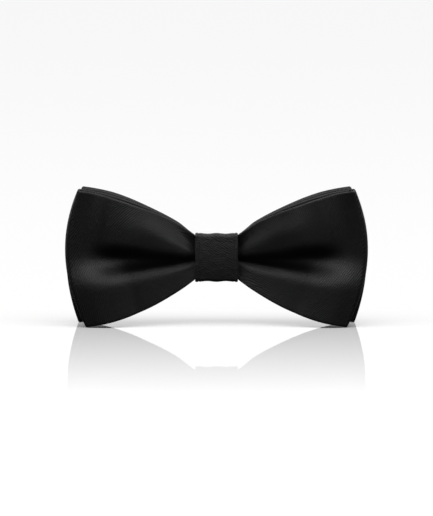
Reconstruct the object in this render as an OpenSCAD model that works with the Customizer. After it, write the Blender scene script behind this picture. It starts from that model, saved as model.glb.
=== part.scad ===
// Pre-tied double bow tie with a spring clip behind its knot.
// X runs along the bow, the front faces -Y and +Z is up. The origin is the centre of the
// knot's flat rear face. The bow stands on the lower corners of its four loops.

/* [Bow] */
// Width of the whole bow, from loop end to loop end
bow_w = 120; // [100:0.5:150]
// Height of the wings at their ends
wing_h = 54.4; // [44:0.2:66]
// Thickness of one sheet of a band: satin, interlining and satin
sheet_t = 1.3; // [1:0.05:1.6]
// Thickness of the interlining inside a sheet
interlining_t = 0.5; // [0.3:0.05:0.7]
// How far the two crests of a wing stand in front of the valley between them
fold_depth = 5; // [2:0.5:6]
// How much the upper and lower edges bow outwards, 0 is straight
edge_bow = 0.69; // [0:0.01:0.8]
// Distance between the two sheets of the front bow's loops, centre to centre
front_loop = 8.4; // [5:0.2:9]
// Distance between the two sheets of the rear bow's loops
rear_loop = 5; // [4:0.2:6]
// Distance between the front sheets of the two bows, at the loops
loop_spread = 12.4; // [11.5:0.2:15]
// Depth of the rear bow's front sheet at the loops, from the knot's rear face
rear_loop_y = -5; // [-6:0.1:-4.5]
// Lean of the front bow's loop ends, sideways per unit of height
front_lean = 0.057; // [-0.08:0.001:0.08]
// Lean of the rear bow's loop ends
rear_lean = -0.028; // [-0.08:0.001:0.08]
// Length over which a band's two ends lap at the centre back
lap = 8; // [7:0.5:12]

/* [Knot] */
// Width of the knot
knot_w = 17; // [14:0.5:22]
// Height of the knot
knot_h = 19.4; // [16:0.2:24]
// Radius of the knot's corners, seen from the side
knot_r = 2.2; // [1.8:0.1:3.4]
// Thickness of the satin wrap
wrap_t = 0.6; // [0.4:0.05:0.8]
// Thickness of the stiffener inside the wrap
stiffener_t = 0.8; // [0.5:0.05:1]
// Thickness of the wadding behind the front of the knot
wadding_t = 1; // [0.6:0.1:2]
// Diameter of the gathering thread
thread_d = 0.5; // [0.3:0.05:0.6]
// Turns of gathering thread round the waist
thread_turns = 5; // [3:1:6]
// Diameter of the sewing thread
sewing_d = 0.4; // [0.3:0.05:0.5]

/* [Clip] */
// Length of the clip
clip_l = 44; // [36:0.5:54]
// Width of the clip's plate, over its ears
clip_w = 9.2; // [8:0.2:11]
// Thickness of the clip's plate and ears
plate_t = 0.8; // [0.6:0.05:1]
// Thickness of the clip's arms
arm_t = 0.7; // [0.5:0.05:0.8]
// Gap between plate and arm, where the collar is gripped
jaw_gap = 0.9; // [0.8:0.05:1.5]
// Radius of the hinge pins
pin_r = 0.6; // [0.5:0.05:0.7]
// Radial clearance of an arm's knuckles on their pin
pin_clear = 0.05; // [0.03:0.01:0.08]
// Wall of the knuckles
knuckle_wall = 0.55; // [0.4:0.05:0.7]
// Diameter of the spring wire
wire_d = 0.35; // [0.25:0.05:0.4]
// Turns of each spring
spring_turns = 6; // [4:1:7]

/* [Fit] */
// Gap between pieces that lie on each other
gap = 0.1; // [0.05:0.01:0.15]

/* [Hidden] */
$fn = 48;

// Depths, from the knot's rear face forwards, so each piece starts where the last one ends
plate_front = -wrap_t - stiffener_t - gap - plate_t;
thread_rear = plate_front - gap - thread_d;
rear_outer_y = thread_rear - gap / 2 - sheet_t / 2;
layer = sheet_t + gap;
rear_inner_y = rear_outer_y - layer;
rear_front_y = rear_inner_y - layer;
front_outer_y = rear_front_y - layer - gap;
front_inner_y = front_outer_y - layer;
front_front_y = front_inner_y - layer;
thread_front = front_front_y - sheet_t / 2 - gap / 2;
wadding_rear = thread_front - thread_d - gap;
knot_d = -(wadding_rear - wadding_t - gap - stiffener_t - wrap_t);

// Heights of the gathered waist: inside the thread, inside the knot, and where the wings swell
// out beside the knot
knot_inner = knot_h / 2 - wrap_t - stiffener_t;
mouth_half = knot_inner - 2 * gap;
waist_half = mouth_half - thread_d;
root_half = knot_h / 2 - 0.3;
thread_pitch = thread_d + 0.4;
thread_half = (thread_turns - 1) / 2 * thread_pitch + thread_d / 2;

// The wings in plan. Their edges start to swell out just beyond the knot
loop_x = bow_w / 2 - sheet_t / 2;
root_x = (knot_w / 2 + 0.25) * loop_x / sqrt(loop_x * loop_x - wing_h * wing_h / 4);
mouth_x = root_x - 1.3;
turn_r = 3.5;
turn_x = loop_x - turn_r;
rear_clear_x = clip_l / 2 + 4;
front_loop_y = rear_loop_y - loop_spread;
wing_steps = 9;

// The hinges of the clip
hinge_x = knot_w / 2 + 2;
plate_rear = plate_front + plate_t;
knuckle_r = pin_r + pin_clear + knuckle_wall;
arm_front = plate_rear + jaw_gap;
hinge_y = arm_front + knuckle_r;
ear_r = knuckle_r + 0.1;
arm_half = clip_w / 2 - plate_t - gap;
coil_r = pin_r + wire_d + 0.05;
coil_pitch = wire_d + 0.08;
coil_half = spring_turns / 2 * coil_pitch;
window_half = coil_half + wire_d;
window_end = hinge_x + coil_r + wire_d / 2 + 0.6;

// Stations across a wing, as shares of its half height: edges, crests and valley
across = [-1, -0.6, -0.3, 0, 0.3, 0.6, 1];
crest_at = 0.6;

function lerp(a, b, t) = a + (b - a) * t;
function smooth(t) = let (c = max(0, min(1, t))) c * c * (3 - 2 * c);
function backwards(list) = [for (i = [len(list) - 1:-1:0]) list[i]];
function lerps(a, b, n) = [for (i = [0:n]) lerp(a, b, i / n)];

// Half the height of a band at a distance from the middle
function half_height(x) =
    x < mouth_x ? lerp(waist_half, mouth_half, smooth((x - lap / 2) / (mouth_x - lap / 2)))
    : x < root_x ? lerp(mouth_half, root_half, (x - mouth_x) / (root_x - mouth_x))
    : let (t = (x - root_x) / (loop_x - root_x))
      root_half + (wing_h / 2 - root_half) * ((1 + edge_bow) * t - edge_bow * t * t);

// How far the folds bring a sheet forward. The crests are full near the knot and fade outwards
function fold(x, v) =
    let (full = root_x + 8, rise = smooth((x - root_x) / 8), fade = smooth((x - full) / (loop_x - full)))
    fold_depth * rise * lerp(1, 0.2, fade) * (1 - cos(180 * v / crest_at)) / 2;

// The loop ends lie on an arc about the knot, and the lean grows towards them
function reach(x, v, lean) =
    let (z = v * wing_h / 2, share = smooth((x - root_x) / (loop_x - root_x)))
    (sqrt(loop_x * loop_x - z * z) + lean * share * z) / loop_x;

// A bow's plan: from the inner lap round the left loop, along the front, round the right loop
// and back to the outer lap. waist holds the depths of front sheet, inner lap and outer lap,
// loop_y is the depth of the front sheet at the loops and loop the distance to the back sheet.
// back and front hold where a sheet leaves the waist's depth and where it reaches the loop's.
function depth(x, from_y, to_y, span) = lerp(from_y, to_y, smooth((x - span[0]) / (span[1] - span[0])));
function back_sheet(from_y, to_y, span) = [
    for (x = concat([-lap / 2, 0, lap / 2, mouth_x], lerps(root_x, turn_x, wing_steps)))
        [x, depth(x, from_y, to_y, span)]
];
function turn(loop_y, loop) = [
    for (a = [60:-30:-60]) [turn_x + turn_r * cos(a), loop_y + loop / 2 * (1 + sin(a))]
];
function front_sheet(from_y, to_y, span) = [
    for (x = concat([thread_half, mouth_x], lerps(root_x, turn_x, wing_steps)))
        [x, depth(x, from_y, to_y, span)]
];
function left(points) = [for (p = points) [-p.x, p.y]];
function bow_plan(waist, loop_y, loop, back, front) =
    let (
        inner = back_sheet(waist[1], loop_y + loop, back),
        outer = back_sheet(waist[2], loop_y + loop, back),
        face = front_sheet(waist[0], loop_y, front),
        round_end = turn(loop_y, loop)
    )
    concat(
        left(inner), left(round_end), left(backwards(face)),
        face, backwards(round_end), backwards(outer)
    );

front_plan = bow_plan(
    [front_front_y, front_inner_y, front_outer_y], front_loop_y, front_loop,
    [root_x, root_x + 25], [root_x, (root_x + turn_x) / 2]
);
rear_plan = bow_plan(
    [rear_front_y, rear_inner_y, rear_outer_y], rear_loop_y, rear_loop,
    [rear_clear_x, rear_clear_x + 20], [rear_clear_x, rear_clear_x + 20]
);

function across_plan(plan, i) =
    let (
        n = len(plan),
        along = plan[min(i + 1, n - 1)] - plan[max(i - 1, 0)]
    )
    [-along.y, along.x] / norm(along);

// The fold at the drawn-in edge of a layer lies straight between crest and edge
function layer_fold(x, v, share) =
    abs(v) < 1
    ? fold(x, v)
    : lerp(fold(x, crest_at), fold(x, 1), (share - crest_at) / (1 - crest_at));

// Sections of a band along its plan, t thick, its edges drawn in by inset
function band_points(plan, t, inset, lean) = [
    for (i = [0:len(plan) - 1], side = [1, -1], k = [0:len(across) - 1])
        let (
            v = across[side > 0 ? k : len(across) - 1 - k],
            p = plan[i] + across_plan(plan, i) * side * t / 2,
            x = min(abs(plan[i].x), loop_x),
            share = 1 - inset / half_height(x),
            height = abs(v) < 1 ? v : v * share
        )
        [p.x * reach(x, v, lean), p.y - layer_fold(x, v, share), height * half_height(x)]
];

// The sides of a band. Every sheet is split along the same diagonals, so the sheets nest
around = concat(across, backwards(across));
ring = len(around);
function band_sides(plan, first) = [
    for (i = [0:len(plan) - 2], k = [0:ring - 1])
        let (
            next = (k + 1) % ring,
            a = first + i * ring + k,
            b = first + i * ring + next,
            outwards = abs(plan[i + 1].x) > abs(plan[i].x),
            widening = abs(around[next]) > abs(around[k])
        )
        each outwards == widening
            ? [[a, b + ring, b], [a, a + ring, b + ring]]
            : [[a, a + ring, b], [b, a + ring, b + ring]]
];
function turned(faces) = [for (f = faces) backwards(f)];

// A solid layer, closed at both ends of the band
module band(plan, t, inset, lean) {
    last = (len(plan) - 1) * ring;
    caps = [
        for (k = [0:len(across) - 2])
            let (a = k, b = ring - 1 - k)
            each [
                [a, a + 1, b], [a + 1, b - 1, b],
                [last + a, last + b, last + a + 1], [last + a + 1, last + b, last + b - 1]
            ]
    ];
    polyhedron(band_points(plan, t, inset, lean), concat(band_sides(plan, 0), caps));
}

// A tube of satin, open at both ends of the band, that fits the interlining
module band_satin(plan, lean) {
    inside = len(plan) * ring;
    last = inside - ring;
    points = concat(
        band_points(plan, sheet_t, 0, lean),
        band_points(plan, interlining_t, (sheet_t - interlining_t) / 2, lean)
    );
    ends = [
        for (k = [0:ring - 1])
            let (a = k, b = (k + 1) % ring)
            each [
                [a, b, inside + a], [b, inside + b, inside + a],
                [last + a, inside + last + a, last + b], [last + b, inside + last + a, inside + last + b]
            ]
    ];
    polyhedron(points, concat(band_sides(plan, 0), turned(band_sides(plan, inside)), ends));
}

// Stitches through the two laps of a band, on both sides of the gathering thread
module lap_stitches(inner_y) {
    long = 2 * sheet_t + gap;
    for (side = [-1, 1], row = [-2:2])
        translate([side * (thread_half + lap / 2) / 2, inner_y - sheet_t / 2, row * waist_half / 3])
            rotate([-90, 0, 0])
                cylinder(d = sewing_d, h = long);
}

module rounded(w, h, r) {
    square([w - 2 * r, h], center = true);
    square([w, h - 2 * r], center = true);
    for (x = [-1, 1], y = [-1, 1])
        translate([x * (w / 2 - r), y * (h / 2 - r)])
            circle(r);
}

// A closed strip round the knot: rear and front are its outer faces, half its outer half height
module strip(rear, front, half, t, w, r) {
    translate([0, (rear + front) / 2, 0])
        rotate([0, 90, 0])
            linear_extrude(w, center = true)
                difference() {
                    rounded(2 * half, rear - front, r);
                    rounded(2 * (half - t), rear - front - 2 * t, r - t);
                }
}

module front_bow_satin() {
    color([0.03, 0.03, 0.035])
        band_satin(front_plan, front_lean);
}

module front_bow_interlining() {
    color([0.85, 0.84, 0.8])
        band(front_plan, interlining_t, (sheet_t - interlining_t) / 2, front_lean);
}

module front_bow_lap_stitches() {
    color([0.1, 0.1, 0.1])
        lap_stitches(front_inner_y);
}

module rear_bow_satin() {
    color([0.04, 0.04, 0.05])
        band_satin(rear_plan, rear_lean);
}

module rear_bow_interlining() {
    color([0.85, 0.84, 0.8])
        band(rear_plan, interlining_t, (sheet_t - interlining_t) / 2, rear_lean);
}

module rear_bow_lap_stitches() {
    color([0.1, 0.1, 0.1])
        lap_stitches(rear_inner_y);
}

// Turns of thread drawn tight round both bows
module waist_thread() {
    color([0.12, 0.12, 0.12])
        for (i = [0:thread_turns - 1])
            translate([(i - (thread_turns - 1) / 2) * thread_pitch, 0, 0])
                strip(thread_rear + thread_d, thread_front - thread_d, waist_half + gap / 2 + thread_d,
                      thread_d, thread_d, thread_d + gap);
}

// A strip of satin, its end lapped and closed under the knot
module knot_wrap() {
    lap_y = -knot_d / 4;
    color([0.02, 0.02, 0.025])
        difference() {
            strip(0, -knot_d, knot_h / 2, wrap_t, knot_w, knot_r);
            translate([0, lap_y, -knot_h / 2 + wrap_t / 2])
                rotate([60, 0, 0])
                    cube([knot_w + 1, gap, 4 * wrap_t], center = true);
        }
}

module knot_interlining() {
    side = 0.7;
    color([0.85, 0.84, 0.8])
        strip(-wrap_t, wrap_t - knot_d, knot_h / 2 - wrap_t, stiffener_t, knot_w - 2 * side, knot_r - wrap_t);
}

module knot_padding() {
    inner_r = knot_r - wrap_t - stiffener_t;
    color([0.92, 0.92, 0.9])
        translate([0, wadding_rear, 0])
            rotate([90, 0, 0])
                linear_extrude(wadding_t)
                    rounded(knot_w - 3, 2 * (knot_inner - inner_r), 1.5);
}

// Short hand stitches across the lap, half sunk in the satin under the knot
module knot_closing_stitches() {
    count = 5;
    long = 1.6;
    color([0.1, 0.1, 0.1])
        for (i = [0:count - 1])
            translate([(i - (count - 1) / 2) * knot_w / (count + 0.5), -knot_d / 4 - long / 2, -knot_h / 2])
                rotate([-90, 0, 0])
                    cylinder(d = sewing_d, h = long);
}

// A stamped plate with an ear above and below each hinge
module clip_base_plate() {
    color([0.75, 0.75, 0.73])
        difference() {
            union() {
                translate([0, plate_rear, 0])
                    rotate([90, 0, 0])
                        linear_extrude(plate_t)
                            rounded(clip_l, clip_w, 2);
                for (x = [-1, 1] * hinge_x, z = [-clip_w / 2, clip_w / 2 - plate_t]) {
                    translate([x - ear_r, plate_front, z])
                        cube([2 * ear_r, hinge_y - plate_front, plate_t]);
                    translate([x, hinge_y, z])
                        cylinder(r = ear_r, h = plate_t);
                }
            }
            for (x = [-1, 1] * hinge_x)
                translate([x, hinge_y, -clip_w / 2 - 1])
                    cylinder(r = pin_r, h = clip_w + 2);
        }
}

module hinge_pin() {
    translate([hinge_x, hinge_y, -clip_w / 2 - gap])
        cylinder(r = pin_r, h = clip_w + 2 * gap);
}

// One triangular tooth, turned in towards the plate
module jaw_tooth(high, wide) {
    rotate([0, 90, 0])
        linear_extrude(arm_t)
            polygon([[-wide / 2, 0.1], [wide / 2, 0.1], [wide / 2, 0], [0, -high], [-wide / 2, 0]]);
}

// The right arm: two knuckles, a plate with a window for the spring, teeth and a finger curl
module clip_arm() {
    curl_r = 1.2;
    tip_x = clip_l / 2 - 0.6;
    tooth = jaw_gap - gap / 2;
    teeth = 5;
    difference() {
        union() {
            translate([hinge_x, arm_front, -arm_half])
                cube([tip_x - hinge_x, arm_t, 2 * arm_half]);
            translate([hinge_x, hinge_y, -arm_half])
                cylinder(r = knuckle_r, h = 2 * arm_half);
            translate([tip_x, arm_front + arm_t + curl_r, -arm_half])
                intersection() {
                    difference() {
                        cylinder(r = curl_r + arm_t, h = 2 * arm_half);
                        translate([0, 0, -1])
                            cylinder(r = curl_r, h = 2 * arm_half + 2);
                    }
                    translate([0, -2 * curl_r, 0])
                        cube([2 * curl_r, 2 * curl_r, 2 * arm_half]);
                }
            for (i = [0:teeth - 1])
                translate([tip_x - 1.2, arm_front, ((i + 0.5) / teeth * 2 - 1) * arm_half])
                    jaw_tooth(tooth, 2 * arm_half / teeth);
        }
        translate([hinge_x, hinge_y, -arm_half - 1])
            cylinder(r = pin_r + pin_clear, h = 2 * arm_half + 2);
        translate([hinge_x - 2 * knuckle_r, arm_front - 1, -window_half])
            cube([window_end - hinge_x + 2 * knuckle_r, 2 * knuckle_r + 2, 2 * window_half]);
    }
}

// The right spring's wire: a leg on the plate, the turns, and a leg behind the arm
spring_steps = 12;
spring_last = spring_turns * 360 - 30 + 90;
function coil_point(a) = [
    hinge_x + coil_r * cos(a - 90),
    hinge_y + coil_r * sin(a - 90),
    lerp(-coil_half, coil_half, a / spring_last)
];
leg_y = arm_front + arm_t + wire_d / 2 + gap / 2;
spring_path = concat(
    [
        [knot_w / 2 + 0.4, plate_rear + wire_d / 2 + gap / 4, -coil_half],
        [hinge_x - coil_r / 2, (plate_rear + hinge_y - coil_r) / 2 + wire_d / 2, -coil_half]
    ],
    [for (a = [0:360 / spring_steps:spring_last]) coil_point(a)],
    [
        [window_end, leg_y + 0.1, coil_half],
        [window_end + 1, leg_y, coil_half],
        [window_end + 3, leg_y, coil_half]
    ]
);

// Round wire along points that turn about Z
module wire(path, d) {
    n = len(path);
    facets = 8;
    points = [
        for (i = [0:n - 1], k = [0:facets - 1])
            let (
                along = path[min(i + 1, n - 1)] - path[max(i - 1, 0)],
                side = [-along.y, along.x, 0] / norm([along.x, along.y]),
                a = 360 * k / facets
            )
            path[i] + side * d / 2 * cos(a) + [0, 0, d / 2 * sin(a)]
    ];
    sides = [
        for (i = [0:n - 2], k = [0:facets - 1])
            let (a = i * facets + k, b = i * facets + (k + 1) % facets)
            each [[a, b + facets, b], [a, a + facets, b + facets]]
    ];
    start = [for (k = [0:facets - 1]) k];
    end = [for (k = [facets - 1:-1:0]) (n - 1) * facets + k];
    polyhedron(points, concat(sides, [start, end]));
}

module left_clip_arm() {
    color([0.78, 0.78, 0.76])
        mirror([1, 0, 0])
            clip_arm();
}

module right_clip_arm() {
    color([0.78, 0.78, 0.76])
        clip_arm();
}

module left_hinge_pin() {
    color([0.6, 0.6, 0.6])
        mirror([1, 0, 0])
            hinge_pin();
}

module right_hinge_pin() {
    color([0.6, 0.6, 0.6])
        hinge_pin();
}

module left_clip_spring() {
    color([0.5, 0.5, 0.52])
        mirror([1, 0, 0])
            wire(spring_path, wire_d);
}

module right_clip_spring() {
    color([0.5, 0.5, 0.52])
        wire(spring_path, wire_d);
}

front_bow_satin();
front_bow_interlining();
front_bow_lap_stitches();
rear_bow_satin();
rear_bow_interlining();
rear_bow_lap_stitches();
waist_thread();
knot_wrap();
knot_interlining();
knot_padding();
knot_closing_stitches();
clip_base_plate();
left_clip_arm();
right_clip_arm();
left_hinge_pin();
right_hinge_pin();
left_clip_spring();
right_clip_spring();
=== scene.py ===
import math

import bpy
import numpy as np
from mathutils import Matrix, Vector


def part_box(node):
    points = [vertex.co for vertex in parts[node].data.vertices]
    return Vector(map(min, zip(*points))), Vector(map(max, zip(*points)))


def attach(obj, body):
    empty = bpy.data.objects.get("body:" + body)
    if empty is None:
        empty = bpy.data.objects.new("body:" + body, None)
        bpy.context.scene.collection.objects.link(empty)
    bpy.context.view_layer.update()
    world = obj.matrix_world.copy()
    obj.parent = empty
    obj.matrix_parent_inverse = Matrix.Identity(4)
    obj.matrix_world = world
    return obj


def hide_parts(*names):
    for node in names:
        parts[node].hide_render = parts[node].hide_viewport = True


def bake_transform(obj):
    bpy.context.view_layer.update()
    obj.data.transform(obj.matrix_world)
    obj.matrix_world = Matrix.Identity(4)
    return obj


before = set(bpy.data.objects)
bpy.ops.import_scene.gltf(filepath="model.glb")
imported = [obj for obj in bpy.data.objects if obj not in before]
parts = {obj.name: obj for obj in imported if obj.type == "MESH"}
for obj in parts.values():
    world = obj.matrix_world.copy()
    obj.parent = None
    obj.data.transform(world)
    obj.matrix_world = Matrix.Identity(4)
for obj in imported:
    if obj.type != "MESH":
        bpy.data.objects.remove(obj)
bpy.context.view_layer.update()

mm = 0.001

# places read from the frame

frontLow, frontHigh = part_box("front_bow_satin")
rearLow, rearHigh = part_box("rear_bow_satin")
knotLow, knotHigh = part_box("knot_wrap")
threadLow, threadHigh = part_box("waist_thread")
wadLow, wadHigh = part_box("knot_padding")
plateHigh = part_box("clip_base_plate")[1]
floorLevel = min(frontLow.z, rearLow.z)


# small helpers

def smoothStep(t):
    t = np.clip(t, 0.0, 1.0)
    return t * t * (3 - 2 * t)


def mix(a, b, t):
    return a + (b - a) * t


def curveThrough(points, x):
    # a smooth curve through a few points that never overshoots them
    px = np.array([p[0] for p in points], float)
    py = np.array([p[1] for p in points], float)
    step = np.diff(px)
    slope = np.diff(py) / step
    tangent = np.zeros(len(px))
    tangent[0], tangent[-1] = slope[0], slope[-1]
    for i in range(1, len(px) - 1):
        if slope[i - 1] * slope[i] > 0:
            tangent[i] = 2 * slope[i - 1] * slope[i] / (slope[i - 1] + slope[i])
    x = np.clip(x, px[0], px[-1])
    i = np.clip(np.searchsorted(px, x, side="right") - 1, 0, len(step) - 1)
    t = (x - px[i]) / step[i]
    return (
        (2 * t**3 - 3 * t**2 + 1) * py[i]
        + (t**3 - 2 * t**2 + t) * step[i] * tangent[i]
        + (3 * t**2 - 2 * t**3) * py[i + 1]
        + (t**3 - t**2) * step[i] * tangent[i + 1]
    )


def softened(grid, times):
    # rounds a grid of heights off, and leaves its borders alone
    for _ in range(times):
        grid[1:-1] = (grid[:-2] + 2 * grid[1:-1] + grid[2:]) / 4
        grid[:, 1:-1] = (grid[:, :-2] + 2 * grid[:, 1:-1] + grid[:, 2:]) / 4
    return grid


def unit(vectors):
    return vectors / np.maximum(np.linalg.norm(vectors, axis=-1, keepdims=True), 1e-12)


rearTaper = {
    "drop": 0.15,  # share of its height that the knot loses towards the rear
    "fade": 7 * mm,  # how far beside the knot this can still be seen
}


def tapered(points):
    points = np.array(points, float)
    back = np.clip((points[:, 1] - knotLow.y) / (knotHigh.y - knotLow.y), 0, 1)
    held = 1 - smoothStep((np.abs(points[:, 0]) - knotHigh.x) / rearTaper["fade"])
    points[:, 2] *= 1 - rearTaper["drop"] * back * held
    return points


def makePiece(name, points, faces, uv=None, body="bow"):
    if body:
        points = tapered(points)
    mesh = bpy.data.meshes.new(name)
    mesh.from_pydata(np.asarray(points).tolist(), [], [list(map(int, f)) for f in faces])
    if uv is not None:
        layer = mesh.uv_layers.new(name="clothUv")
        corner = np.zeros(len(mesh.loops), int)
        mesh.loops.foreach_get("vertex_index", corner)
        layer.data.foreach_set("uv", np.asarray(uv, np.float32)[corner].ravel())
    mesh.polygons.foreach_set("use_smooth", [True] * len(mesh.polygons))
    mesh.update()
    piece = bpy.data.objects.new(name, mesh)
    bpy.context.scene.collection.objects.link(piece)
    if body:
        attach(piece, body)
    return piece


def sideFaces(sections, ring, first=0, inwards=False):
    i, k = np.meshgrid(np.arange(sections - 1), np.arange(ring), indexing="ij")
    a = first + i * ring + k
    b = first + i * ring + (k + 1) % ring
    quads = np.stack([a, b, b + ring, a + ring], -1).reshape(-1, 4)
    return quads[:, ::-1] if inwards else quads


def endFaces(ring, outerAt, innerAt, turned):
    k = np.arange(ring)
    n = (k + 1) % ring
    quads = np.stack([outerAt + k, innerAt + k, innerAt + n, outerAt + n], -1)
    return quads[:, ::-1] if turned else quads


def endCaps(ring, startAt, endAt):
    return [list(range(startAt, startAt + ring))[::-1], list(range(endAt, endAt + ring))]


# camera and light

cameraSetup = {
    "elevation": 7.3,
    "distance": 1.3,
    "frameHeight": 204.5 * mm,  # seen at the knot's front
}


def placeCamera():
    target = Vector((0, knotLow.y, (knotLow.z + knotHigh.z) / 2))
    tilt = math.radians(cameraSetup["elevation"])
    data = bpy.data.cameras.new("camera")
    data.lens = data.sensor_width * cameraSetup["distance"] / cameraSetup["frameHeight"]
    data.clip_start = 0.01
    camera = bpy.data.objects.new("camera", data)
    bpy.context.scene.collection.objects.link(camera)
    away = Vector((0, -math.cos(tilt), math.sin(tilt)))
    camera.location = target + away * cameraSetup["distance"]
    camera.rotation_euler = (-away).to_track_quat("-Z", "Y").to_euler()
    bpy.context.scene.camera = camera


studio = {
    "overheadPower": 38.0,
    "overheadPlace": (0, -0.4, 1.08),
    "overheadSize": (2.6, 0.95),
    "frontPower": 2.1,
    "frontPlace": (0, -2.2, 0.7),
    "frontSize": (2.2, 1.2),
    "wallGlow": 1.0,
    "fill": 0.05,
    "floorWhite": 0.68,
    "floorDark": 0.035,  # what the cloth sees of the floor
    "mirrorNear": 0.5,  # strength of the mirror image under the bow
    "mirrorTail": 0.07,  # and where it has nearly faded
    "whiteShare": 0.85,  # how white the floor is behind the bow, shadows and all
}


def addSoftbox(name, place, size, power):
    data = bpy.data.lights.new(name, "AREA")
    data.shape = "RECTANGLE"
    data.size, data.size_y = size
    data.energy = power
    lamp = bpy.data.objects.new(name, data)
    bpy.context.scene.collection.objects.link(lamp)
    lamp.location = place
    lamp.rotation_euler = (-Vector(place)).to_track_quat("-Z", "Y").to_euler()
    lamp.visible_camera = False


def buildStudio():
    scene = bpy.context.scene
    scene.view_settings.view_transform = "Standard"
    for label in ("overhead", "front"):
        place, size = studio[f"{label}Place"], studio[f"{label}Size"]
        addSoftbox(f"{label}Softbox", place, size, studio[f"{label}Power"])

    world = bpy.data.worlds.new("studioWorld")
    scene.world = world
    world.use_nodes = True
    nodes, links = world.node_tree.nodes, world.node_tree.links
    nodes.clear()
    seen = nodes.new("ShaderNodeLightPath")
    dim = nodes.new("ShaderNodeBackground")
    dim.inputs["Color"].default_value = (1, 1, 1, 1)
    dim.inputs["Strength"].default_value = studio["fill"]
    white = nodes.new("ShaderNodeBackground")
    white.inputs["Color"].default_value = (1, 1, 1, 1)
    blend = nodes.new("ShaderNodeMixShader")
    out = nodes.new("ShaderNodeOutputWorld")
    links.new(seen.outputs["Is Camera Ray"], blend.inputs[0])
    links.new(dim.outputs[0], blend.inputs[1])
    links.new(white.outputs[0], blend.inputs[2])
    links.new(blend.outputs[0], out.inputs[0])

    bpy.ops.mesh.primitive_plane_add(size=14, location=(0, -2, floorLevel))
    floor = bpy.context.object
    floor.name = "studioFloor"
    floor.data.materials.append(floorFinish())
    bpy.ops.mesh.primitive_plane_add(size=1, location=(0, 5, 1.9), rotation=(math.pi / 2, 0, 0))
    wall = bpy.context.object
    wall.name = "studioWall"
    wall.scale = (14, 4, 1)
    wall.data.materials.append(wallFinish())
    wall.visible_diffuse = False


def floorFinish():
    # white gloss whose mirror image fades towards the viewer, and nearly pure white behind the bow
    material = bpy.data.materials.new("floorGloss")
    material.use_nodes = True
    tree = material.node_tree
    nodes, links = tree.nodes, tree.links
    nodes.clear()
    place = nodes.new("ShaderNodeNewGeometry")
    split = nodes.new("ShaderNodeSeparateXYZ")
    links.new(place.outputs["Position"], split.inputs[0])

    def fade(near, far, low, high):
        ramp = nodes.new("ShaderNodeMapRange")
        for label, value in zip(("From Min", "From Max", "To Min", "To Max"), (near, far, low, high)):
            ramp.inputs[label].default_value = value
        links.new(split.outputs["Y"], ramp.inputs["Value"])
        return ramp.outputs[0]

    close = fade(-0.18, -0.01, studio["mirrorTail"], studio["mirrorNear"])
    tail = fade(-0.42, -0.18, -studio["mirrorTail"], 0.0)
    shine = mathNode(tree, "MAXIMUM", mathNode(tree, "ADD", close, tail), 0.0)
    paint = nodes.new("ShaderNodeBsdfDiffuse")
    paint.inputs["Color"].default_value = (studio["floorWhite"],) * 3 + (1,)
    mirror = nodes.new("ShaderNodeBsdfGlossy")
    mirror.inputs["Color"].default_value = (1, 1, 1, 1)
    mirror.inputs["Roughness"].default_value = 0.03
    glow = nodes.new("ShaderNodeEmission")
    dark = nodes.new("ShaderNodeBsdfDiffuse")
    dark.inputs["Color"].default_value = (studio["floorDark"],) * 3 + (1,)
    seen = nodes.new("ShaderNodeLightPath")
    out = nodes.new("ShaderNodeOutputMaterial")

    def over(fac, first, second):
        blend = nodes.new("ShaderNodeMixShader")
        links.new(fac, blend.inputs[0])
        links.new(first, blend.inputs[1])
        links.new(second, blend.inputs[2])
        return blend.outputs[0]

    glossy = over(shine, paint.outputs[0], mirror.outputs[0])
    shown = over(fade(-0.02, 0.03, 0.0, studio["whiteShare"]), glossy, glow.outputs[0])
    links.new(over(seen.outputs["Is Camera Ray"], dark.outputs[0], shown), out.inputs[0])
    return material


def wallFinish():
    material = bpy.data.materials.new("wallGlow")
    material.use_nodes = True
    nodes, links = material.node_tree.nodes, material.node_tree.links
    nodes.clear()
    glow = nodes.new("ShaderNodeEmission")
    glow.inputs["Strength"].default_value = studio["wallGlow"]
    out = nodes.new("ShaderNodeOutputMaterial")
    links.new(glow.outputs[0], out.inputs[0])
    return material


# shader groups

def newGroup(name, inputs, outputs):
    group = bpy.data.node_groups.new(name, "ShaderNodeTree")
    for label, kind, value in inputs:
        socket = group.interface.new_socket(label, in_out="INPUT", socket_type=kind)
        socket.default_value = value
    for label, kind in outputs:
        group.interface.new_socket(label, in_out="OUTPUT", socket_type=kind)
    nodes = group.nodes
    return group, nodes.new("NodeGroupInput"), nodes.new("NodeGroupOutput")


def mathNode(tree, operation, first, second=None, third=None):
    node = tree.nodes.new("ShaderNodeMath")
    node.operation = operation
    for socket, value in zip(node.inputs, (first, second, third)):
        if value is None:
            continue
        if isinstance(value, (int, float)):
            socket.default_value = value
        else:
            tree.links.new(value, socket)
    return node.outputs[0]


def noiseNode(tree, vector, scale, detail=2.0, roughness=0.5):
    node = tree.nodes.new("ShaderNodeTexNoise")
    tree.links.new(vector, node.inputs["Vector"])
    node.inputs["Detail"].default_value = detail
    node.inputs["Roughness"].default_value = roughness
    if isinstance(scale, (int, float)):
        node.inputs["Scale"].default_value = scale
    else:
        tree.links.new(scale, node.inputs["Scale"])
    return node.outputs["Fac"]


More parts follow.
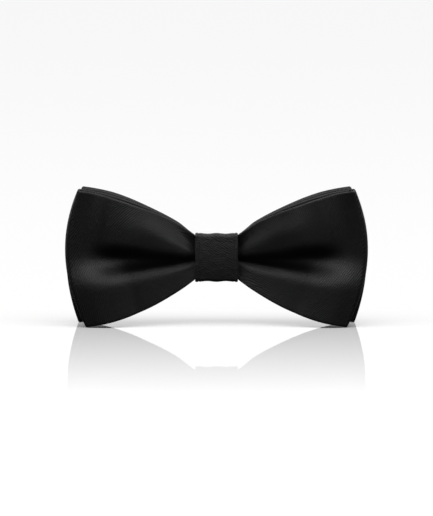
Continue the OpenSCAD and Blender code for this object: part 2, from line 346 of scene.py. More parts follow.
def satinWeaveGroup():
    # long floats of yarn on a steep diagonal, with uneven yarns and a few pulled ones
    group, given, result = newGroup(
        "satinWeave",
        [
            ("Cloth", "NodeSocketVector", (0, 0, 0)),
            ("Ribs Per Metre", "NodeSocketFloat", 1250.0),
            ("Unevenness", "NodeSocketFloat", 0.35),
        ],
        [("Height", "NodeSocketFloat"), ("Slub And Painted Sheen", "NodeSocketFloat"), ("Slub", "NodeSocketFloat")],
    )
    links = group.links
    split = group.nodes.new("ShaderNodeSeparateXYZ")
    links.new(given.outputs["Cloth"], split.inputs[0])
    ribs = given.outputs["Ribs Per Metre"]
    along = mathNode(group, "MULTIPLY", split.outputs["X"], ribs)
    over = mathNode(group, "MULTIPLY", split.outputs["Y"], ribs)
    wander = noiseNode(group, given.outputs["Cloth"], 500.0, 4.0, 0.6)
    push = mathNode(group, "MULTIPLY", wander, given.outputs["Unevenness"])
    rise, run = mathNode(group, "MULTIPLY", over, 0.5), mathNode(group, "MULTIPLY", along, 0.87)
    steep = mathNode(group, "ADD", rise, run)
    turn = mathNode(group, "MULTIPLY", mathNode(group, "ADD", steep, push), 2 * math.pi)
    twill = mathNode(group, "SINE", turn)
    warp = mathNode(group, "SINE", mathNode(group, "MULTIPLY", along, 2 * math.pi * 2.7))
    height = mathNode(group, "ADD", twill, mathNode(group, "MULTIPLY", warp, 0.1))
    links.new(mathNode(group, "ADD", height, wander), result.inputs["Height"])
    stretch = group.nodes.new("ShaderNodeMapping")
    stretch.inputs["Scale"].default_value = (14, 240, 1)
    links.new(given.outputs["Cloth"], stretch.inputs["Vector"])
    slub = noiseNode(group, stretch.outputs[0], 9.0, 4.0, 0.6)
    links.new(slub, result.inputs["Slub"])
    # colour mask: slubs give the yarn's own uneven tone, and the rib crowns are painted lighter, a painted
    # sheen
    raised = mathNode(group, "MULTIPLY_ADD", twill, 0.5, 0.5)
    crownSheen, yarns = mathNode(group, "MULTIPLY", raised, 0.4), mathNode(group, "MULTIPLY", slub, 0.6)
    links.new(mathNode(group, "ADD", crownSheen, yarns), result.inputs["Slub And Painted Sheen"])
    return group


def yarnTwistGroup():
    group, given, result = newGroup(
        "yarnTwist",
        [("Cloth", "NodeSocketVector", (0, 0, 0)), ("Twists Per Metre", "NodeSocketFloat", 2200.0)],
        [("Height", "NodeSocketFloat"), ("Fuzz", "NodeSocketFloat")],
    )
    links = group.links
    split = group.nodes.new("ShaderNodeSeparateXYZ")
    links.new(given.outputs["Cloth"], split.inputs[0])
    turnsAlong = mathNode(group, "MULTIPLY", split.outputs["X"], given.outputs["Twists Per Metre"])
    turns = mathNode(group, "ADD", turnsAlong, mathNode(group, "MULTIPLY", split.outputs["Y"], 2.0))
    ply = mathNode(group, "SINE", mathNode(group, "MULTIPLY", turns, 2 * math.pi))
    fuzz = noiseNode(group, given.outputs["Cloth"], 4000.0, 3.0)
    links.new(mathNode(group, "ADD", ply, fuzz), result.inputs["Height"])
    links.new(fuzz, result.inputs["Fuzz"])
    return group


def metalWearGroup():
    # rubbed edges, fine handling scratches and cloudy patches
    group, given, result = newGroup(
        "metalWear",
        [("Place", "NodeSocketVector", (0, 0, 0)), ("Scratches", "NodeSocketFloat", 1.0)],
        [("Edge", "NodeSocketFloat"), ("Cloud", "NodeSocketFloat"), ("Height", "NodeSocketFloat")],
    )
    links = group.links
    shape = group.nodes.new("ShaderNodeNewGeometry")
    ramp = group.nodes.new("ShaderNodeMapRange")
    ramp.inputs["From Min"].default_value = 0.52
    ramp.inputs["From Max"].default_value = 0.6
    links.new(shape.outputs["Pointiness"], ramp.inputs["Value"])
    cloud = noiseNode(group, given.outputs["Place"], 420.0, 5.0, 0.6)
    links.new(mathNode(group, "MULTIPLY", ramp.outputs[0], cloud), result.inputs["Edge"])
    links.new(cloud, result.inputs["Cloud"])
    drawn = group.nodes.new("ShaderNodeMapping")
    drawn.inputs["Scale"].default_value = (60, 60, 2600)
    links.new(given.outputs["Place"], drawn.inputs["Vector"])
    lines = noiseNode(group, drawn.outputs[0], 1.0, 4.0, 0.7)
    links.new(mathNode(group, "MULTIPLY", lines, given.outputs["Scratches"]), result.inputs["Height"])
    return group


groups = {}


def useGroup(material, name, build):
    if name not in groups:
        groups[name] = build()
    node = material.node_tree.nodes.new("ShaderNodeGroup")
    node.node_tree = groups[name]
    return node


def startFinish(name):
    material = bpy.data.materials.new(name)
    material.use_nodes = True
    nodes = material.node_tree.nodes
    nodes.clear()
    surface = nodes.new("ShaderNodeBsdfPrincipled")
    out = nodes.new("ShaderNodeOutputMaterial")
    material.node_tree.links.new(surface.outputs[0], out.inputs[0])
    return material, surface


def clothPlace(material):
    node = material.node_tree.nodes.new("ShaderNodeUVMap")
    node.uv_map = "clothUv"
    return node.outputs["UV"]


def objectPlace(material):
    return material.node_tree.nodes.new("ShaderNodeTexCoord").outputs["Object"]


def between(tree, fac, low, high):
    node = tree.nodes.new("ShaderNodeMapRange")
    node.inputs["To Min"].default_value = low
    node.inputs["To Max"].default_value = high
    tree.links.new(fac, node.inputs["Value"])
    return node.outputs[0]


def blendColour(tree, fac, low, high):
    node = tree.nodes.new("ShaderNodeMix")
    node.data_type = "RGBA"
    node.inputs[6].default_value = (*low, 1)
    node.inputs[7].default_value = (*high, 1)
    tree.links.new(fac, node.inputs[0])
    return node.outputs[2]


def bumpNode(tree, height, strength, distance):
    node = tree.nodes.new("ShaderNodeBump")
    node.inputs["Strength"].default_value = strength
    node.inputs["Distance"].default_value = distance
    tree.links.new(height, node.inputs["Height"])
    return node.outputs[0]


satinLook = {
    "dark": (0.0010, 0.0010, 0.0012),
    "light": (0.0070, 0.0070, 0.0075),
    "roughLow": 0.38,
    "roughHigh": 0.58,
    "specular": 0.30,
    "sheen": 0.02,
    "bump": 0.7,
    "ribsPerMetre": 1250.0,
    "unevenness": 1.1,
}
knotLook = {
    # lighter than the bow satin: a painted sheen on the knot, a lit copy of the same cloth
    "light": (0.0085, 0.0085, 0.009),
    "bump": 0.8,
    "unevenness": 3.2,
}


def satinFinish(name, look):
    material, surface = startFinish(name)
    tree = material.node_tree
    weave = useGroup(material, "satinWeave", satinWeaveGroup)
    tree.links.new(clothPlace(material), weave.inputs["Cloth"])
    weave.inputs["Ribs Per Metre"].default_value = look["ribsPerMetre"]
    weave.inputs["Unevenness"].default_value = look["unevenness"]
    # base colour lighter on the rib crowns, a painted sheen, and on slubs, the yarn's own tone
    colour = blendColour(tree, weave.outputs["Slub And Painted Sheen"], look["dark"], look["light"])
    tree.links.new(colour, surface.inputs["Base Color"])
    rough = between(tree, weave.outputs["Slub And Painted Sheen"], look["roughLow"], look["roughHigh"])
    tree.links.new(rough, surface.inputs["Roughness"])
    tree.links.new(bumpNode(tree, weave.outputs["Height"], look["bump"], 0.00006), surface.inputs["Normal"])
    surface.inputs["Specular IOR Level"].default_value = look["specular"]
    surface.inputs["Sheen Weight"].default_value = look["sheen"]
    surface.inputs["Sheen Roughness"].default_value = 0.35
    return material


def wovenFinish(name, low, high, ribs, bump):
    material, surface = startFinish(name)
    tree = material.node_tree
    weave = useGroup(material, "satinWeave", satinWeaveGroup)
    tree.links.new(clothPlace(material), weave.inputs["Cloth"])
    weave.inputs["Ribs Per Metre"].default_value = ribs
    weave.inputs["Unevenness"].default_value = 0.8
    tree.links.new(blendColour(tree, weave.outputs["Slub"], low, high), surface.inputs["Base Color"])
    tree.links.new(between(tree, weave.outputs["Slub"], 0.8, 0.95), surface.inputs["Roughness"])
    tree.links.new(bumpNode(tree, weave.outputs["Height"], bump, 0.0001), surface.inputs["Normal"])
    return material


def threadFinish(name, low, high):
    material, surface = startFinish(name)
    tree = material.node_tree
    twist = useGroup(material, "yarnTwist", yarnTwistGroup)
    tree.links.new(clothPlace(material), twist.inputs["Cloth"])
    tree.links.new(blendColour(tree, twist.outputs["Fuzz"], low, high), surface.inputs["Base Color"])
    tree.links.new(between(tree, twist.outputs["Fuzz"], 0.5, 0.75), surface.inputs["Roughness"])
    tree.links.new(bumpNode(tree, twist.outputs["Height"], 0.5, 0.00008), surface.inputs["Normal"])
    return material


def metalFinish(name, worn, plated, roughLow, roughHigh, scratches):
    material, surface = startFinish(name)
    tree = material.node_tree
    wear = useGroup(material, "metalWear", metalWearGroup)
    tree.links.new(objectPlace(material), wear.inputs["Place"])
    wear.inputs["Scratches"].default_value = scratches
    tree.links.new(blendColour(tree, wear.outputs["Edge"], plated, worn), surface.inputs["Base Color"])
    tree.links.new(between(tree, wear.outputs["Cloud"], roughLow, roughHigh), surface.inputs["Roughness"])
    tree.links.new(bumpNode(tree, wear.outputs["Height"], 0.15, 0.00003), surface.inputs["Normal"])
    surface.inputs["Metallic"].default_value = 1.0
    return material


# the bows

outline = {
    "edgeBow": 0.72,  # how much the long edges bow outwards
    "rootHalf": knotHigh.z - 0.3 * mm,
    "mouthHalf": knotHigh.z - 1.6 * mm,  # inside the knot
    "rootX": knotHigh.x + 1.2 * mm,
    "cornerRound": 1.5 * mm,
    "sheet": 1.1 * mm,
    "interlining": 0.45 * mm,
    "lap": 8.0 * mm,
    "clearOfClip": plateHigh.x + 4 * mm,
    "nested": 0.35,  # share of the front folds that the sheets behind follow
}

# creases that fan out from the knot, as (distance from the middle, height) in mm
creaseLines = {
    "upperBrow": [(8.5, 4.2), (12, 7.4), (18, 12.4), (26, 18), (34, 20.5), (45, 23), (60, 25)],
    "upperFlank": [(8.5, 2.1), (12, 4.3), (18, 8.6), (26, 13.8), (34, 17), (45, 20), (60, 22)],
    "upperCrest": [(8.5, 1.2), (12, 2.6), (18, 5.0), (26, 8.6), (34, 10.5), (45, 12), (60, 13)],
    "crestFoot": [(8.5, 0.8), (12, 1.6), (18, 2.8), (26, 4.6), (34, 6.4), (45, 6.9), (60, 6)],
    "upperGroove": [(8.5, 0.1), (12, 0.1), (18, 0.8), (26, 1.5), (34, 3.0), (45, 3.3), (60, 2)],
    "ridge": [(8.5, -0.3), (18, -0.6), (26, -0.4), (34, -0.6), (42, -1.4), (50, -3), (60, -4.5)],
    "lowerGroove": [
        (8.5, -0.8), (12, -1.1), (18, -1.5), (26, -2.1), (34, -3.2), (42, -4.8), (50, -6), (60, -7)
    ],
    "lowerFlank": [(8.5, -2.0), (12, -3.0), (18, -4.5), (26, -5.7), (34, -7.2), (42, -8.6), (60, -9)],
    "lowerCrest": [(8.5, -3.4), (12, -4.8), (18, -6.9), (26, -8.7), (34, -10.5), (42, -11.7), (60, -13.5)],
}
# how steeply the sheet leans back on each of them: below 0 it overhangs
creaseTilts = {
    "edge": [(8.5, -0.3), (12, -0.3), (18, 0.2), (26, 0.4), (34, 0.2), (42, 0.06), (60, 0.0)],
    "upperBrow": [(8.5, -0.25), (12, -0.1), (18, 0.32), (26, 0.42), (34, 0.22), (42, 0.06), (60, 0.0)],
    "upperFlank": [(8.5, 0.85), (12, 0.85), (18, 0.75), (26, 0.52), (34, 0.22), (42, 0.06), (60, 0.0)],
    "upperCrest": [(8.5, 0.0), (60, 0.0)],
    "crestFoot": [(8.5, -0.1), (60, 0.0)],
    "upperGroove": [(8.5, -1.5), (18, -1.5), (34, -1.6), (42, -1.2), (47, -0.4), (52, 0.0), (60, 0.0)],
    "ridge": [(8.5, -0.8), (18, -0.6), (26, 0.1), (31, 0.3), (36, 0.42), (42, 0.55), (50, 0.5), (60, 0.1)],
    "lowerGroove": [
        (8.5, -0.9), (18, -0.9), (26, -0.9), (34, -0.6), (39, 0.0), (44, 0.2), (50, 0.48), (60, 0.15)
    ],
    "lowerFlank": [
        (8.5, 1.1), (12, 1.05), (18, 0.85), (26, 0.68), (34, 0.58), (42, 0.52), (50, 0.4), (60, 0.1)
    ],
    "lowerCrest": [(8.5, 0.05), (60, 0.0)],
    "hem": [(8.5, 0.12), (18, 0.05), (60, 0.02)],
}
# how far the whole sheet stands forward of its plan
creaseLift = [(8.5, 0.9), (10, 1.5), (13, 2.4), (18, 3.1), (30, 3.0), (42, 2.0), (52, 1.2), (60, 0.6)]

frontBow = {
    "high": frontHigh,
    "endDrop": 6.2 * mm,  # how far the corners lie inside the loop's end
    "lean": 1.5 * mm,
    "loopFront": knotLow.y - 3.0 * mm,
    "loopDepth": 8.4 * mm,
    "loopRound": 1.9 * mm,
    "creased": 1.0,
    "waist": (-10.7, -9.3, -7.9),  # front sheet, inner lap and outer lap, in mm
    "frontFrom": outline["rootX"],
    "frontTo": outline["rootX"] + 24 * mm,
    "backFrom": outline["rootX"],
    "backTo": outline["rootX"] + 25 * mm,
}
rearBow = {
    "high": rearHigh,
    "endDrop": 5.2 * mm,
    "lean": -0.8 * mm,
    "loopFront": rearHigh.y - 5.65 * mm,
    "loopDepth": 5.0 * mm,
    "loopRound": 1.5 * mm,
    "creased": outline["nested"],
    "waist": (-6.4, -5.0, -3.6),
    "frontFrom": outline["clearOfClip"],
    "frontTo": outline["clearOfClip"] + 20 * mm,
    "backFrom": outline["clearOfClip"],
    "backTo": outline["clearOfClip"] + 20 * mm,
}
loopEnd = frontHigh.x - outline["sheet"] / 2


def halfHeight(x, top):
    root, rootX = outline["rootHalf"], outline["rootX"]
    t = np.clip((x - rootX) / (loopEnd - rootX), 0, 1)
    rise = (1 + outline["edgeBow"]) * t - outline["edgeBow"] * t * t
    waist = threadHigh.z - 1.0 * mm
    neckLine = [(0, waist), (outline["lap"] / 2, waist), (knotHigh.x, outline["mouthHalf"])]
    neck = curveThrough(neckLine + [(rootX, root), (rootX + mm, root * 1.06)], x)
    height = np.where(x < rootX, neck, root + (top - root) * rise)
    into = np.clip((x - (loopEnd - outline["cornerRound"])) / outline["cornerRound"], 0, 1)
    return height - 0.5 * outline["cornerRound"] * (1 - np.sqrt(1 - into**2 * 0.96))


def creaseHeights(x, z, half):
    # how far forward the front sheet stands, for one station at distance x
    at = x / mm
    edge = half / mm
    stops = [(-edge - 0.5, curveThrough(creaseTilts["hem"], at))]
    for name in reversed(creaseLines):
        stops.append((float(curveThrough(creaseLines[name], at)), float(curveThrough(creaseTilts[name], at))))
    stops.append((edge + 0.5, curveThrough(creaseTilts["edge"], at)))
    heights = z / mm
    tilt = curveThrough(stops, heights)
    step = np.diff(heights)
    rise = -np.concatenate([[0], np.cumsum((tilt[1:] + tilt[:-1]) / 2 * step)])
    level = (rise.max() + rise.mean()) / 2
    height = (rise - level + curveThrough(creaseLift, at)) * smoothStep((at - 6.8) / 2.6)
    room = 0.08 + 3.5 * smoothStep((at - 12) / 10)  # before it meets the sheet behind
    return np.where(height < 0, -room * np.tanh(-height / room), height) * mm


def bowStations(bow):
    # a band in plan: distance out along the straight, share of the loop, depth, share of the front, side
    straight = loopEnd - bow["loopRound"]
    front, inner, outer = (y * mm for y in bow["waist"])
    backEnd = bow["loopFront"] + bow["loopDepth"]

    def back(waistY):
        x = np.concatenate([
            np.linspace(-outline["lap"] / 2, outline["rootX"], 16),
            np.linspace(outline["rootX"], straight, 52)[1:],
        ])
        y = mix(waistY, backEnd, smoothStep((x - bow["backFrom"]) / (bow["backTo"] - bow["backFrom"])))
        return x, np.zeros(len(x)), y, np.zeros(len(x))

    def turn():
        angle = np.linspace(math.pi / 2, -math.pi / 2, 19)[1:-1]
        y = bow["loopFront"] + bow["loopDepth"] / 2 * (1 + np.sin(angle))
        return np.full(len(angle), straight), np.cos(angle), y, (1 - np.sin(angle)) / 2

    def fore():
        x = np.concatenate([
            np.linspace(0, outline["rootX"], 12),
            np.linspace(outline["rootX"], straight, 110)[1:],
        ])
        share = smoothStep((x - bow["frontFrom"]) / (bow["frontTo"] - bow["frontFrom"]))
        return x[::-1], np.zeros(len(x)), mix(front, bow["loopFront"], share)[::-1], np.ones(len(x))

    legs = [
        [np.concatenate(values) for values in zip(back(waistY), turn(), fore())]
        for waistY in (inner, outer)
    ]
    joined = [np.concatenate([near, far[::-1][1:]]) for near, far in zip(*legs)]
    side = np.concatenate([np.full(len(legs[0][0]), -1.0), np.full(len(legs[1][0]) - 1, 1.0)])
    return (*joined, side)


def bowSurface(bow, across=75):
    x, loop, y, fore, side = bowStations(bow)
    away = np.abs(x)
    straight = loopEnd - bow["loopRound"]
    v = np.linspace(-1, 1, across)
    half = halfHeight(np.minimum(away + loop * bow["loopRound"], loopEnd), bow["high"].z)
    z = v[None, :] * (half - outline["sheet"] / 2)[:, None]
    crease = softened(np.array([creaseHeights(a, row, h) for a, row, h in zip(away, z, half)]), 4)
    follow = mix(1, outline["nested"], smoothStep((away - 10 * mm) / (14 * mm)))
    behind = np.maximum(crease, 0) * follow[:, None]
    ahead = crease if bow is frontBow else behind
    amount = mix(behind, ahead, fore[:, None])
    turned = bow["loopRound"] * (1 - 0.7 * v * v)
    grown = smoothStep((away - outline["rootX"]) / (straight - outline["rootX"]))
    reach = loopEnd - turned - bow["endDrop"] * v * v
    grid = np.zeros((len(x), across, 3))
    grid[..., 0] = side[:, None] * (
        (x / straight)[:, None] * reach + loop[:, None] * turned + bow["lean"] * grown[:, None] * v
    )
    grid[..., 1] = y[:, None] - amount
    grid[..., 2] = z
    return grid


def layerRings(grid, thickness, arcs=6):
    # rings round a sheet of this thickness whose edges are fully round
    along = unit(np.gradient(grid, axis=0))
    across = unit(np.gradient(grid, axis=1))
    normal = unit(np.cross(across, along))
    r = thickness / 2
    outer = grid + normal * r
    inner = (grid - normal * r)[:, ::-1]
    angle = np.linspace(0, math.pi, arcs + 2)[1:-1][None, :, None]
    topArc = grid[:, -1:] + (normal[:, -1:] * np.cos(angle) + across[:, -1:] * np.sin(angle)) * r
    lowArc = grid[:, :1] - (normal[:, :1] * np.cos(angle) + across[:, :1] * np.sin(angle)) * r
    return np.concatenate([outer, topArc, inner, lowArc], axis=1)


def ringUv(rings):
    # lengths along and round the cloth, in metres
    middle = rings.mean(axis=1)
    u = np.concatenate([[0], np.cumsum(np.linalg.norm(np.diff(middle, axis=0), axis=1))])
    widest = rings[np.argmax(np.ptp(rings[..., 2], axis=1))]
    w = np.concatenate([[0], np.cumsum(np.linalg.norm(np.diff(widest, axis=0), axis=1))])
    return np.stack(np.broadcast_arrays(u[:, None], w[None, :]), -1).reshape(-1, 2)


def clothTube(name, grid, thickness, hollow=0.0, body="bow"):
    outer = layerRings(grid, thickness)
    count, ring = outer.shape[:2]
    if not hollow:
        faces = sideFaces(count, ring).tolist() + endCaps(ring, 0, (count - 1) * ring)
        return makePiece(name, outer.reshape(-1, 3), faces, ringUv(outer), body)
    inner = layerRings(grid, hollow)
    points = np.concatenate([outer.reshape(-1, 3), inner.reshape(-1, 3)])
    first = count * ring
    faces = np.concatenate([
        sideFaces(count, ring),
        sideFaces(count, ring, first, inwards=True),
        endFaces(ring, 0, first, False),
        endFaces(ring, first - ring, 2 * first - ring, True),
    ])
    uv = ringUv(outer)
    return makePiece(name, points, faces, np.concatenate([uv, uv]), body)


def buildBow(label, bow):
    grid = bowSurface(bow)
    satin = clothTube(f"{label}BowSatin", grid, outline["sheet"], outline["interlining"])
    stiff = clothTube(f"{label}BowInterlining", grid, outline["interlining"] * 0.96)
    for piece, slotName, node in ((satin, "satin", "bow_satin"), (stiff, "interlining", "bow_interlining")):
        piece.data.materials.append(finishes[slotName])
        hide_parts(f"{label}_{node}")


# the knot

knotShape = {
    "corner": 1.3 * mm,
    "wrap": 0.6 * mm,
    "stiffener": 0.8 * mm,
    "crown": 0.3 * mm,  # how far the front bulges between its sides
    "pillow": 0.7 * mm,  # the same between its top and bottom
    "ripple": 0.16 * mm,  # the soft pleats that show along its upper edge
    "lapLength": 5.0 * mm,
    "lapAt": -3.6 * mm,
    "hemWidth": 1.0 * mm,
    "hemRise": 0.16 * mm,
    "liningInset": 0.9 * mm,  # from the knot's sides
}


def roundedPath(halfDeep, halfHigh, corner, share):
    # depth and height round a closed path, from the front of its underside towards the rear
    flatDeep, flatHigh = halfDeep - corner, halfHigh - corner
    quarter = math.pi / 2 * corner
    legs = (
        ((-flatDeep, -halfHigh), (1, 0), (0, -1), 2 * flatDeep),
        ((flatDeep, -flatHigh), None, -0.5, quarter),
        ((halfDeep, -flatHigh), (0, 1), (1, 0), 2 * flatHigh),
        ((flatDeep, flatHigh), None, 0.0, quarter),
        ((flatDeep, halfHigh), (-1, 0), (0, 1), 2 * flatDeep),
        ((-flatDeep, flatHigh), None, 0.5, quarter),
        ((-halfDeep, flatHigh), (0, -1), (-1, 0), 2 * flatHigh),
        ((-flatDeep, -flatHigh), None, 1.0, quarter),
    )
    total = sum(leg[3] for leg in legs)
    s = np.asarray(share) % 1.0 * total
    points, normals = np.zeros((len(s), 2)), np.zeros((len(s), 2))
    done = 0.0
    for place, run, facing, length in legs:
        inside = (s >= done) & (s <= done + length)
        d = s[inside] - done
        if run:
            points[inside] = np.array(place) + d[:, None] * np.array(run)
            normals[inside] = facing
        else:
            angle = facing * math.pi + d / corner
            normals[inside] = np.stack([np.cos(angle), np.sin(angle)], -1)
            points[inside] = np.array(place) + corner * normals[inside]
        done += length
    return points, normals, total


def wrapSurface(halfWide, inset, lapLength, across=61, count=300):
    # a strip round the knot, drawn in by inset, whose end laps over its start underneath
    deep, high = -knotLow.y / 2, knotHigh.z
    corner = knotShape["corner"] - inset
    size = (deep - inset, high - inset, corner)
    total = roundedPath(*size, [0])[2]
    start = (knotShape["lapAt"] + deep - lapLength + deep - inset - corner) / total
    u = np.linspace(0, 1 + lapLength / total, count)
    points, normals, _ = roundedPath(*size, start + u)
    w = np.linspace(-1, 1, across)
    front = np.clip(-normals[:, 0], 0, 1) ** 2
    upright = np.abs(normals[:, 1])
    pleat = knotShape["ripple"] * (np.cos(w * 7.2) - 0.5)
    pillow = knotShape["pillow"] * (1 - (points[:, 1] / high) ** 2)
    bulge = pillow[:, None] + knotShape["crown"] * (1 - w**2) + 0.3 * pleat
    rise = front[:, None] * bulge + upright[:, None] * pleat
    if lapLength > 0:
        inwards = (1 - np.abs(w)) * halfWide / knotShape["hemWidth"]
        fold, groove = np.exp(-(((inwards - 0.3) * 3) ** 2)), np.exp(-(((inwards - 1.1) * 4) ** 2))
        rise = rise + knotShape["hemRise"] * (fold - groove)
        lift = smoothStep((u - 1 + 0.03) / 0.03) * knotShape["wrap"] * 1.1
        rise = rise + lift[:, None]
    grid = np.zeros((count, across, 3))
    grid[..., 0] = w[None, :] * halfWide
    grid[..., 1] = points[:, :1] - deep + normals[:, :1] * rise
    grid[..., 2] = points[:, 1:] + normals[:, 1:] * rise
    return grid


def buildKnot():
    half = knotHigh.x
    wrap = wrapSurface(half - knotShape["wrap"] / 2, knotShape["wrap"] / 2, knotShape["lapLength"])
    piece = clothTube("knotWrap", wrap[:, ::-1], knotShape["wrap"])
    piece.data.materials.append(finishes["knotSatin"])
    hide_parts("knot_wrap")
    inset = knotShape["wrap"] + knotShape["stiffener"] / 2
    liningHalf = half - knotShape["liningInset"]
    lining = wrapSurface(liningHalf, inset + 0.06 * mm, -0.4 * mm, across=31, count=180)
    stiff = clothTube("knotInterlining", lining[:, ::-1], knotShape["stiffener"] * 0.9)
    stiff.data.materials.append(finishes["interlining"])
    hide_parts("knot_interlining")


waddingShape = {"rows": 41, "columns": 37, "tuft": 0.12 * mm}


def buildWadding():
    rows, columns = waddingShape["rows"], waddingShape["columns"]
    lowest, highest = np.array(wadLow), np.array(wadHigh)
    middle, size = (lowest + highest) / 2, (highest - lowest) / 2
    a = np.linspace(-1, 1, columns)[None, :]
    b = np.linspace(-1, 1, rows)[:, None]
    full = np.sqrt(np.clip(1 - np.abs(a) ** 5, 0, 1)) * np.sqrt(np.clip(1 - np.abs(b) ** 5, 0, 1))
    uneven = np.sin(a * 9 + b * 5) * np.sin(b * 11 - a * 4) * waddingShape["tuft"]
    points, faces, uv = [], [], []
    for facing in (-1, 1):
        depth = middle[1] + facing * full * (size[1] - waddingShape["tuft"] + uneven * 0.8)
        sheet = np.stack([
            middle[0] + a * size[0] + 0 * b, depth, middle[2] + b * size[2] * (1 - 0.03 * a**2)
        ], -1)
        first = len(points)
        points += sheet.reshape(-1, 3).tolist()
        uv += sheet.reshape(-1, 3)[:, [0, 2]].tolist()
        for i in range(rows - 1):
            for k in range(columns - 1):
                q = first + i * columns + k
                quad = [q, q + 1, q + columns + 1, q + columns]
                faces.append(quad if facing < 0 else quad[::-1])
    pad = makePiece("knotWadding", points, faces, uv)
    joiner = pad.modifiers.new("weld", "WELD")
    joiner.merge_threshold = 0.00002
    pad.data.materials.append(finishes["wadding"])
    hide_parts("knot_padding")


# threads and wire

def sweepRound(paths, radius, sides=10):
    # round tubes along lists of points, with rounded ends, as one set of points, faces and uv
    allPoints, allFaces, allUv = [], [], []
    ring = np.linspace(0, 2 * math.pi, sides, endpoint=False)
    for path in paths:
        path = np.asarray(path, float)
        along = unit(np.gradient(path, axis=0))
        side = np.zeros_like(along)
        last = np.array([0.0, 0.0, 1.0]) if abs(along[0][2]) < 0.9 else np.array([1.0, 0.0, 0.0])
        for i, t in enumerate(along):
            last = last - t * last.dot(t)
            last /= np.linalg.norm(last)
            side[i] = last
        up = np.cross(along, side)
        taper = np.ones(len(path))
        taper[[0, -1]] = 0.55
        around = (
            path[:, None] + radius * taper[:, None, None]
            * (side[:, None] * np.cos(ring)[None, :, None] + up[:, None] * np.sin(ring)[None, :, None])
        )
        run = np.concatenate([[0], np.cumsum(np.linalg.norm(np.diff(path, axis=0), axis=1))])
        first = len(allPoints)
        allPoints += around.reshape(-1, 3).tolist()
        turned = ring / (2 * math.pi)
        allUv += np.stack(np.broadcast_arrays(run[:, None], turned[None, :]), -1).reshape(-1, 2).tolist()
        allFaces += sideFaces(len(path), sides, first).tolist()
        allFaces += endCaps(sides, first, first + (len(path) - 1) * sides)
    return allPoints, allFaces, allUv


def threadPiece(name, node, paths, radius, finish="thread", body="bow"):
    points, faces, uv = sweepRound(paths, radius)
    piece = makePiece(name, points, faces, uv, body)
    piece.data.materials.append(finishes[finish])
    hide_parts(node)
    return piece


waistThread = {"turns": 5, "thickness": 0.5 * mm, "corner": 0.75 * mm}


def buildWaistThread():
    r = waistThread["thickness"] / 2
    halfHigh = threadHigh.z - r
    deep = (threadHigh.y - threadLow.y) / 2 - r
    middle = (threadHigh.y + threadLow.y) / 2
    count = 96
    loop, _, _ = roundedPath(deep, halfHigh, waistThread["corner"], np.arange(count) / count)
    turns = waistThread["turns"]
    steps = turns * count
    i = np.arange(steps)
    span = (threadHigh.x - threadLow.x) / 2 - r
    x = -span + 2 * span * np.clip((i / count - 0.5) / (turns - 1), 0, 1)
    path = np.stack([x, middle + loop[i % count, 0], loop[i % count, 1]], -1)
    keep = np.linalg.norm(np.diff(path, axis=0, prepend=path[:1] - 1), axis=1) > 1e-6
    threadPiece("waistThread", "waist_thread", [path[keep]], r)


stitches = {"thickness": 0.3 * mm, "length": 1.5 * mm, "rows": 5, "closing": 6}


def buildLapStitches(label):
    # two rows of running stitches through both laps
    low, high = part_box(f"{label}_bow_lap_stitches")
    r = stitches["thickness"] / 2
    paths = []
    for side in (-1, 1):
        x = side * (high.x - 0.2 * mm)
        z = np.linspace(low.z + 0.2 * mm, high.z - 0.2 * mm, stitches["rows"])
        half = stitches["length"] / 2
        for at in z:
            near, far = high.y - r, low.y + r
            arc = np.linspace(0, math.pi, 9)
            over = [(x, near - 0.25 * mm + 0.25 * mm * math.sin(t), at - half * math.cos(t)) for t in arc]
            through = [(x, mix(near - 0.25 * mm, far, t), at + half) for t in np.linspace(0, 1, 6)[1:]]
            paths.append(over + through)
    threadPiece(f"{label}LapStitches", f"{label}_bow_lap_stitches", paths, r)


def buildClosingStitches():
    low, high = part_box("knot_closing_stitches")
    r = stitches["thickness"] / 2
    count = stitches["closing"]
    paths = []
    for i in range(count):
        x = mix(low.x, high.x, (i + 0.5) / count)
        t = np.linspace(0, math.pi, 11)
        y = knotShape["lapAt"] - np.cos(t) * 0.9 * mm
        z = knotLow.z - 0.7 * mm - np.sin(t) * 0.16 * mm + smoothStep(t / math.pi) * 0.65 * mm
        paths.append(np.stack([x + (t / math.pi - 0.5) * 0.7 * mm, y, z], -1))
    threadPiece("knotClosingStitches", "knot_closing_stitches", paths, r)


springShape = {"turns": 6, "wire": 0.35 * mm, "radius": 1.0 * mm, "legLength": 3.0 * mm}


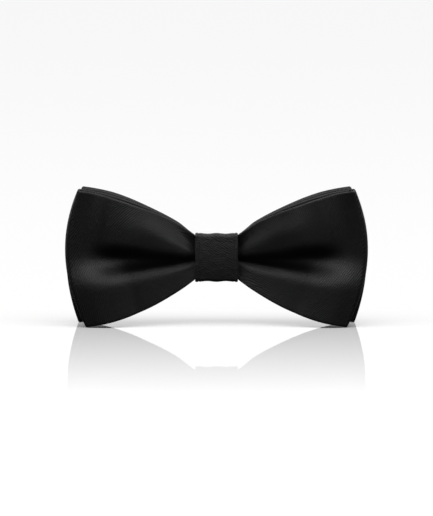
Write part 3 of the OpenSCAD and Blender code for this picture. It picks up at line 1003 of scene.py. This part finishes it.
def buildSpring(label, side):
    node = f"{label}_clip_spring"
    low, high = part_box(node)
    pinLow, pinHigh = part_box(f"{label}_hinge_pin")
    axisX, axisY = abs(pinLow.x + pinHigh.x) / 2, (pinLow.y + pinHigh.y) / 2
    r = springShape["wire"] / 2
    bottom, top = low.z + r, high.z - r
    last = springShape["turns"] * 2 * math.pi + math.pi / 3
    turn = np.linspace(0, last, springShape["turns"] * 20)
    coil = np.stack([
        axisX + springShape["radius"] * np.sin(turn),
        axisY - springShape["radius"] * np.cos(turn),
        mix(bottom, top, turn / last),
    ], -1)
    plateY, armY = low.y + r, high.y - r
    armX = max(abs(low.x), abs(high.x))
    bendX = armX - springShape["legLength"]
    plateLeg = [(knotHigh.x + 0.4 * mm, plateY, bottom), (axisX - 0.5 * mm, plateY + 0.1 * mm, bottom)]
    armLeg = [(bendX, armY + 0.05 * mm, top), (bendX + 1.0 * mm, armY, top), (armX, armY, top)]
    path = np.array(plateLeg + coil.tolist() + armLeg)
    path[:, 0] *= side
    points, faces, uv = sweepRound([path], r)
    piece = makePiece(f"{label}ClipSpring", points, faces, uv, None)
    piece.data.materials.append(finishes["spring"])
    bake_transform(piece)
    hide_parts(node)


# the clip

clipLook = {"edge": 0.12 * mm, "segments": 3}


def dressClip():
    for name, finish, slotName in (
        ("clip_base_plate", "nickel", "nickel_plate"),
        ("left_clip_arm", "nickel", "nickel_plate"),
        ("right_clip_arm", "nickel", "nickel_plate"),
        ("left_hinge_pin", "pin", "steel_pin"),
        ("right_hinge_pin", "pin", "steel_pin"),
    ):
        part = parts[name]
        part.data.materials.clear()
        part.data.materials.append(finishes[finish])
        soften = part.modifiers.new("roundedEdges", "BEVEL")
        soften.width = clipLook["edge"]
        soften.segments = clipLook["segments"]
        soften.limit_method = "ANGLE"
        soften.angle_limit = math.radians(40)
        soften.use_clamp_overlap = True


finishes = {
    "satin": satinFinish("bowSatin", satinLook),
    "knotSatin": satinFinish("knotSatin", {**satinLook, **knotLook}),
    "interlining": wovenFinish("interliningCloth", (0.5, 0.48, 0.44), (0.72, 0.7, 0.65), 1600.0, 0.5),
    "wadding": wovenFinish("waddingFelt", (0.6, 0.59, 0.56), (0.8, 0.79, 0.76), 900.0, 0.8),
    "thread": threadFinish("sewingThread", (0.006, 0.006, 0.007), (0.02, 0.02, 0.022)),
    "nickel": metalFinish("nickelPlate", (0.42, 0.36, 0.27), (0.66, 0.64, 0.6), 0.16, 0.34, 1.0),
    "pin": metalFinish("drawnPin", (0.4, 0.39, 0.37), (0.56, 0.56, 0.55), 0.22, 0.4, 1.6),
    "spring": metalFinish("springWire", (0.3, 0.3, 0.3), (0.45, 0.45, 0.46), 0.25, 0.42, 1.8),
}

placeCamera()
buildStudio()
print("studio ready")
buildBow("front", frontBow)
buildBow("rear", rearBow)
buildKnot()
buildWadding()
buildWaistThread()
buildLapStitches("front")
buildLapStitches("rear")
buildClosingStitches()
print("threads ready")
buildSpring("left", -1)
buildSpring("right", 1)
dressClip()
print("clip ready")
